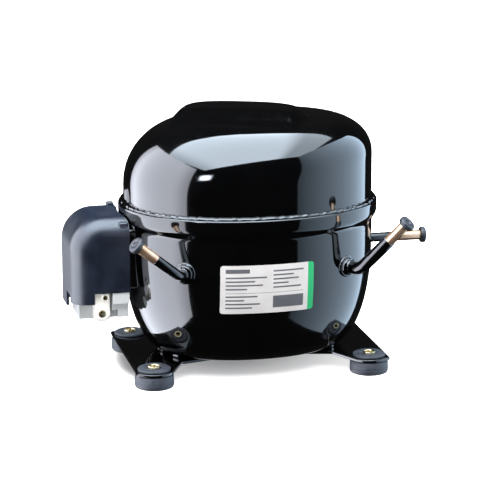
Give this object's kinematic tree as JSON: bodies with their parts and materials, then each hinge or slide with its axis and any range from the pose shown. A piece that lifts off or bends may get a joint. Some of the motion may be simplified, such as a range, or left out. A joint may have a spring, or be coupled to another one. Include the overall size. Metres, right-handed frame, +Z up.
{
  "type": "hermetic reciprocating compressor",
  "caption": "Sealed black refrigeration compressor: oval welded shell on rubber feet, with copper-ended tubes, a terminal cover and a sprung motor and piston pump inside.",
  "frame": {"origin": "on the floor, at the centre of the rectangle of the four foot bolts", "axes": "+Z up, +X towards the discharge tube and away from the terminal cover, -Y towards the label"},
  "size_m": [0.2921, 0.1801, 0.2042],
  "materials": {
    "black_paint": "gloss black paint",
    "foot_rubber": "dark grey moulded rubber",
    "yellow_zinc": "yellow zinc plate",
    "copper": "bright drawn copper",
    "plug_rubber": "black rubber",
    "label_film": "pale printed film",
    "steel": "bare steel",
    "relay_plastic": "black moulded plastic",
    "white_nylon": "natural nylon",
    "cover_plastic": "slate grey moulded plastic",
    "lamination": "stacked steel sheet",
    "winding": "varnished copper wire",
    "cast": "machined cast iron",
    "gasket": "fibre sheet",
    "light_alloy": "die-cast alloy"
  },
  "bodies": {
    "housing": {"lower_shell": "black_paint", "upper_shell": "black_paint", "seam_weld": "black_paint", "left_bracket": "black_paint", "right_bracket": "black_paint", "rubber_feet": "foot_rubber", "foot_sleeves": "yellow_zinc", "data_label": "label_film", "suction_tube": "black_paint", "suction_stub": "copper", "process_tube": "black_paint", "process_stub": "copper", "discharge_tube": "black_paint", "discharge_stub": "copper", "hermetic_terminal": "steel", "terminal_pins": "steel", "terminal_fence": "black_paint", "start_relay": "relay_plastic", "overload_protector": "relay_plastic", "terminal_block": "white_nylon", "cord_clamp": "white_nylon", "clamp_screws": "yellow_zinc", "spring_seats": "white_nylon"},
    "terminal_cover": {"terminal_cover": "cover_plastic"},
    "suction_plug": {"suction_plug": "plug_rubber"},
    "process_plug": {"process_plug": "plug_rubber"},
    "discharge_plug": {"discharge_plug": "plug_rubber"},
    "pump_frame": {"stator_core": "lamination", "stator_windings": "winding", "stator_bolts": "steel", "cylinder_block": "cast", "cylinder_gasket": "gasket", "valve_plate": "steel", "head_gasket": "gasket", "cylinder_head": "light_alloy", "head_bolts": "steel", "suction_muffler": "white_nylon", "discharge_line": "copper", "suspension_springs": "steel"},
    "crank_rotor": {"crankshaft": "cast", "rotor": "lamination", "oil_pickup": "steel"},
    "piston": {"piston": "steel", "wrist_pin": "steel"},
    "connecting_rod": {"connecting_rod": "cast"},
    "suction_reed": {"suction_reed": "steel"},
    "discharge_reed": {"discharge_reed": "steel"}
  },
  "joints": [
    {"name": "cover_pull", "type": "slide", "parent": "housing", "child": "terminal_cover", "axis": [-1, 0, 0], "range_m": [0, 0.06]},
    {"name": "suction_plug_pull", "type": "slide", "parent": "housing", "child": "suction_plug", "axis": [0.5468, -0.4181, 0.7254], "range_m": [0, 0.05]},
    {"name": "process_plug_pull", "type": "slide", "parent": "housing", "child": "process_plug", "axis": [-0.7522, -0.22, 0.6211], "range_m": [0, 0.05]},
    {"name": "discharge_plug_pull", "type": "slide", "parent": "housing", "child": "discharge_plug", "axis": [1, 0, 0], "range_m": [0, 0.05]},
    {"name": "suspension", "type": "slide", "parent": "housing", "child": "pump_frame", "axis": [0, 0, 1], "range_m": [-0.003, 0.003], "stiffness_N_per_m": 32000, "springref_m": 0.00171, "deforming": ["suspension_springs", "discharge_line"]},
    {"name": "crank_spin", "type": "hinge", "parent": "pump_frame", "child": "crank_rotor", "pos_m": [0, 0, 0.1], "axis": [0, 0, 1], "continuous": true},
    {"name": "piston_stroke", "type": "slide", "parent": "pump_frame", "child": "piston", "axis": [1, 0, 0], "range_m": [-0.018, 0]},
    {"name": "rod_swing", "type": "hinge", "parent": "piston", "child": "connecting_rod", "pos_m": [0.045, 0, 0.157], "axis": [0, 0, 1], "range_deg": [-14.5, 14.5]},
    {"name": "suction_reed_bend", "type": "hinge", "parent": "pump_frame", "child": "suction_reed", "pos_m": [0.0573, -0.003, 0.166], "axis": [0, 1, 0], "range_deg": [0, 6], "stiffness_Nm_per_rad": 0.004},
    {"name": "discharge_reed_bend", "type": "hinge", "parent": "pump_frame", "child": "discharge_reed", "pos_m": [0.0607, 0.008, 0.164], "axis": [0, -1, 0], "range_deg": [0, 5], "stiffness_Nm_per_rad": 0.004}
  ]
}
